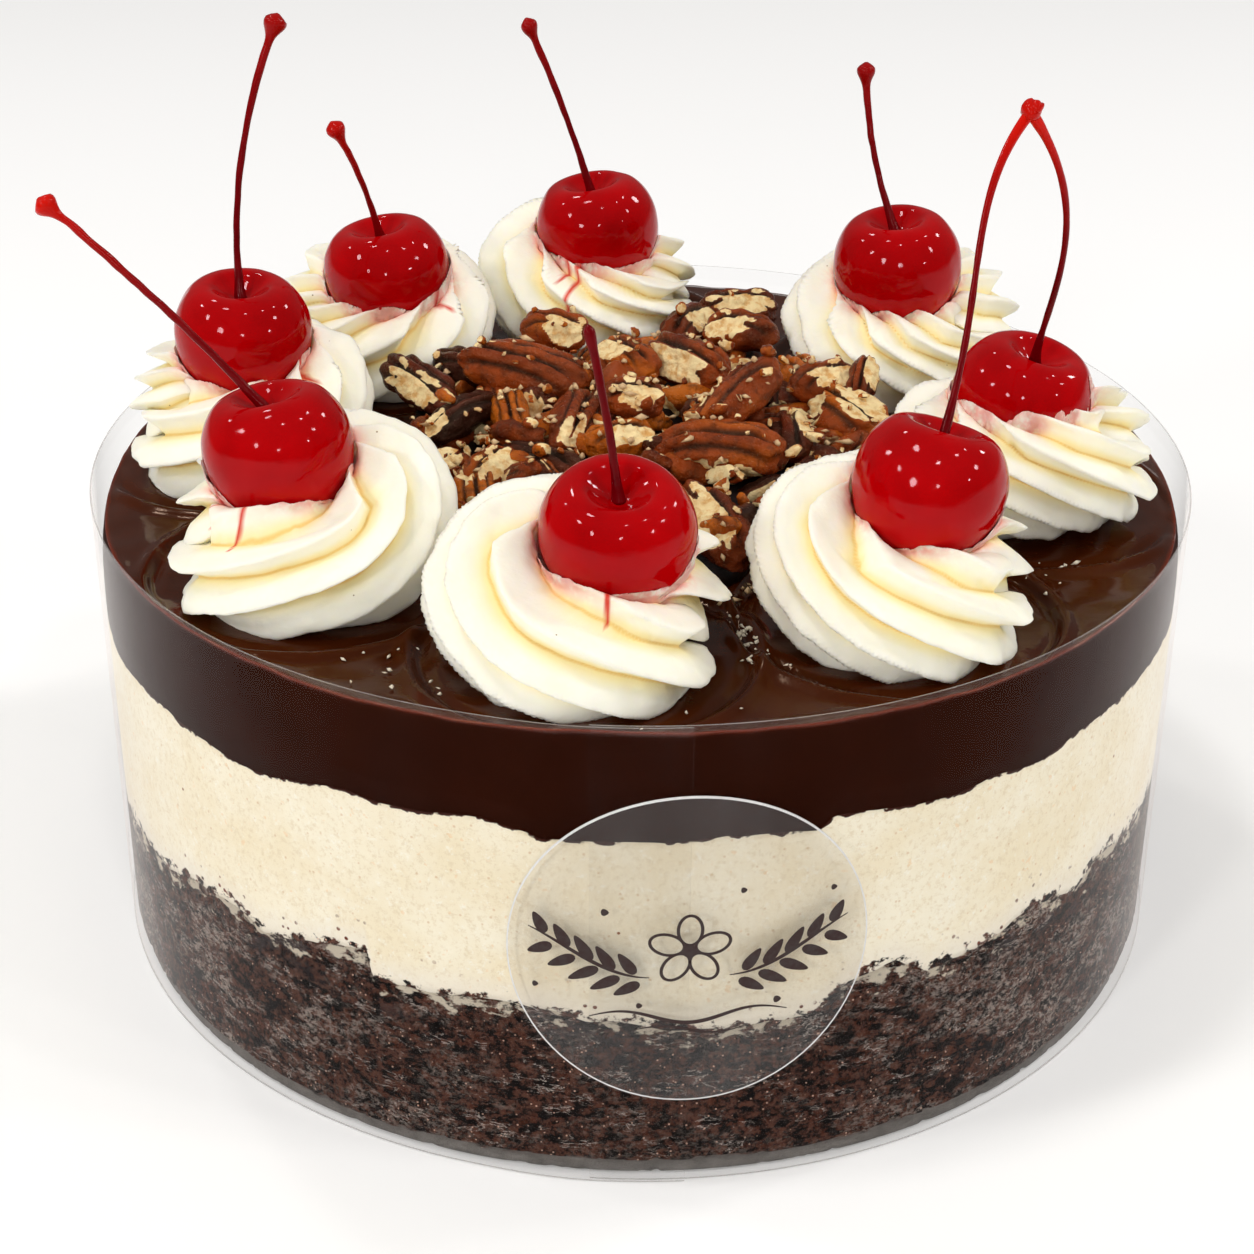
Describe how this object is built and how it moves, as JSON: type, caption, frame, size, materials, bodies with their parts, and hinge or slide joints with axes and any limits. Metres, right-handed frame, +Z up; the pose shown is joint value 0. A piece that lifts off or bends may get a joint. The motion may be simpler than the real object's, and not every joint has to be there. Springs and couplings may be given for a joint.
{
  "type": "cherry cheesecake",
  "caption": "Round layered cheesecake in a clear film collar, with a dark crumb base, a chocolate layer, piped cream swirls, stemmed cherries and a heap of pecans.",
  "frame": {"origin": "centre of the flat underside, on the cake's axis", "axes": "+Z up along the cake's axis; -Y towards the film's seam and the round label; +X to the right of someone who faces the label"},
  "size_m": [0.1792, 0.1808, 0.1479],
  "materials": {
    "crumb": "dark porous crumb",
    "cheesecake": "smooth ivory cream cheese",
    "ganache": "glossy dark chocolate",
    "clear_film": "clear film",
    "label_film": "clear label film with a dark print",
    "cream": "soft whipped cream",
    "cherry": "glossy translucent red",
    "stem": "smooth dark red",
    "pecan": "rough brown nut"
  },
  "bodies": {
    "root": {"crumb_base": "crumb", "cheesecake": "cheesecake", "ganache": "ganache", "collar": "clear_film", "label": "label_film", "swirl_1": "cream", "swirl_2": "cream", "swirl_3": "cream", "swirl_4": "cream", "swirl_5": "cream", "swirl_6": "cream", "swirl_7": "cream", "swirl_8": "cream", "cherry_1": "cherry", "cherry_2": "cherry", "cherry_3": "cherry", "cherry_4": "cherry", "cherry_5": "cherry", "cherry_6": "cherry", "cherry_7": "cherry", "cherry_8": "cherry", "stem_1": "stem", "stem_2": "stem", "stem_3": "stem", "stem_4": "stem", "stem_5": "stem", "stem_6": "stem", "stem_twin": "stem", "pecan_heap": "pecan"}
  },
  "joints": []
}
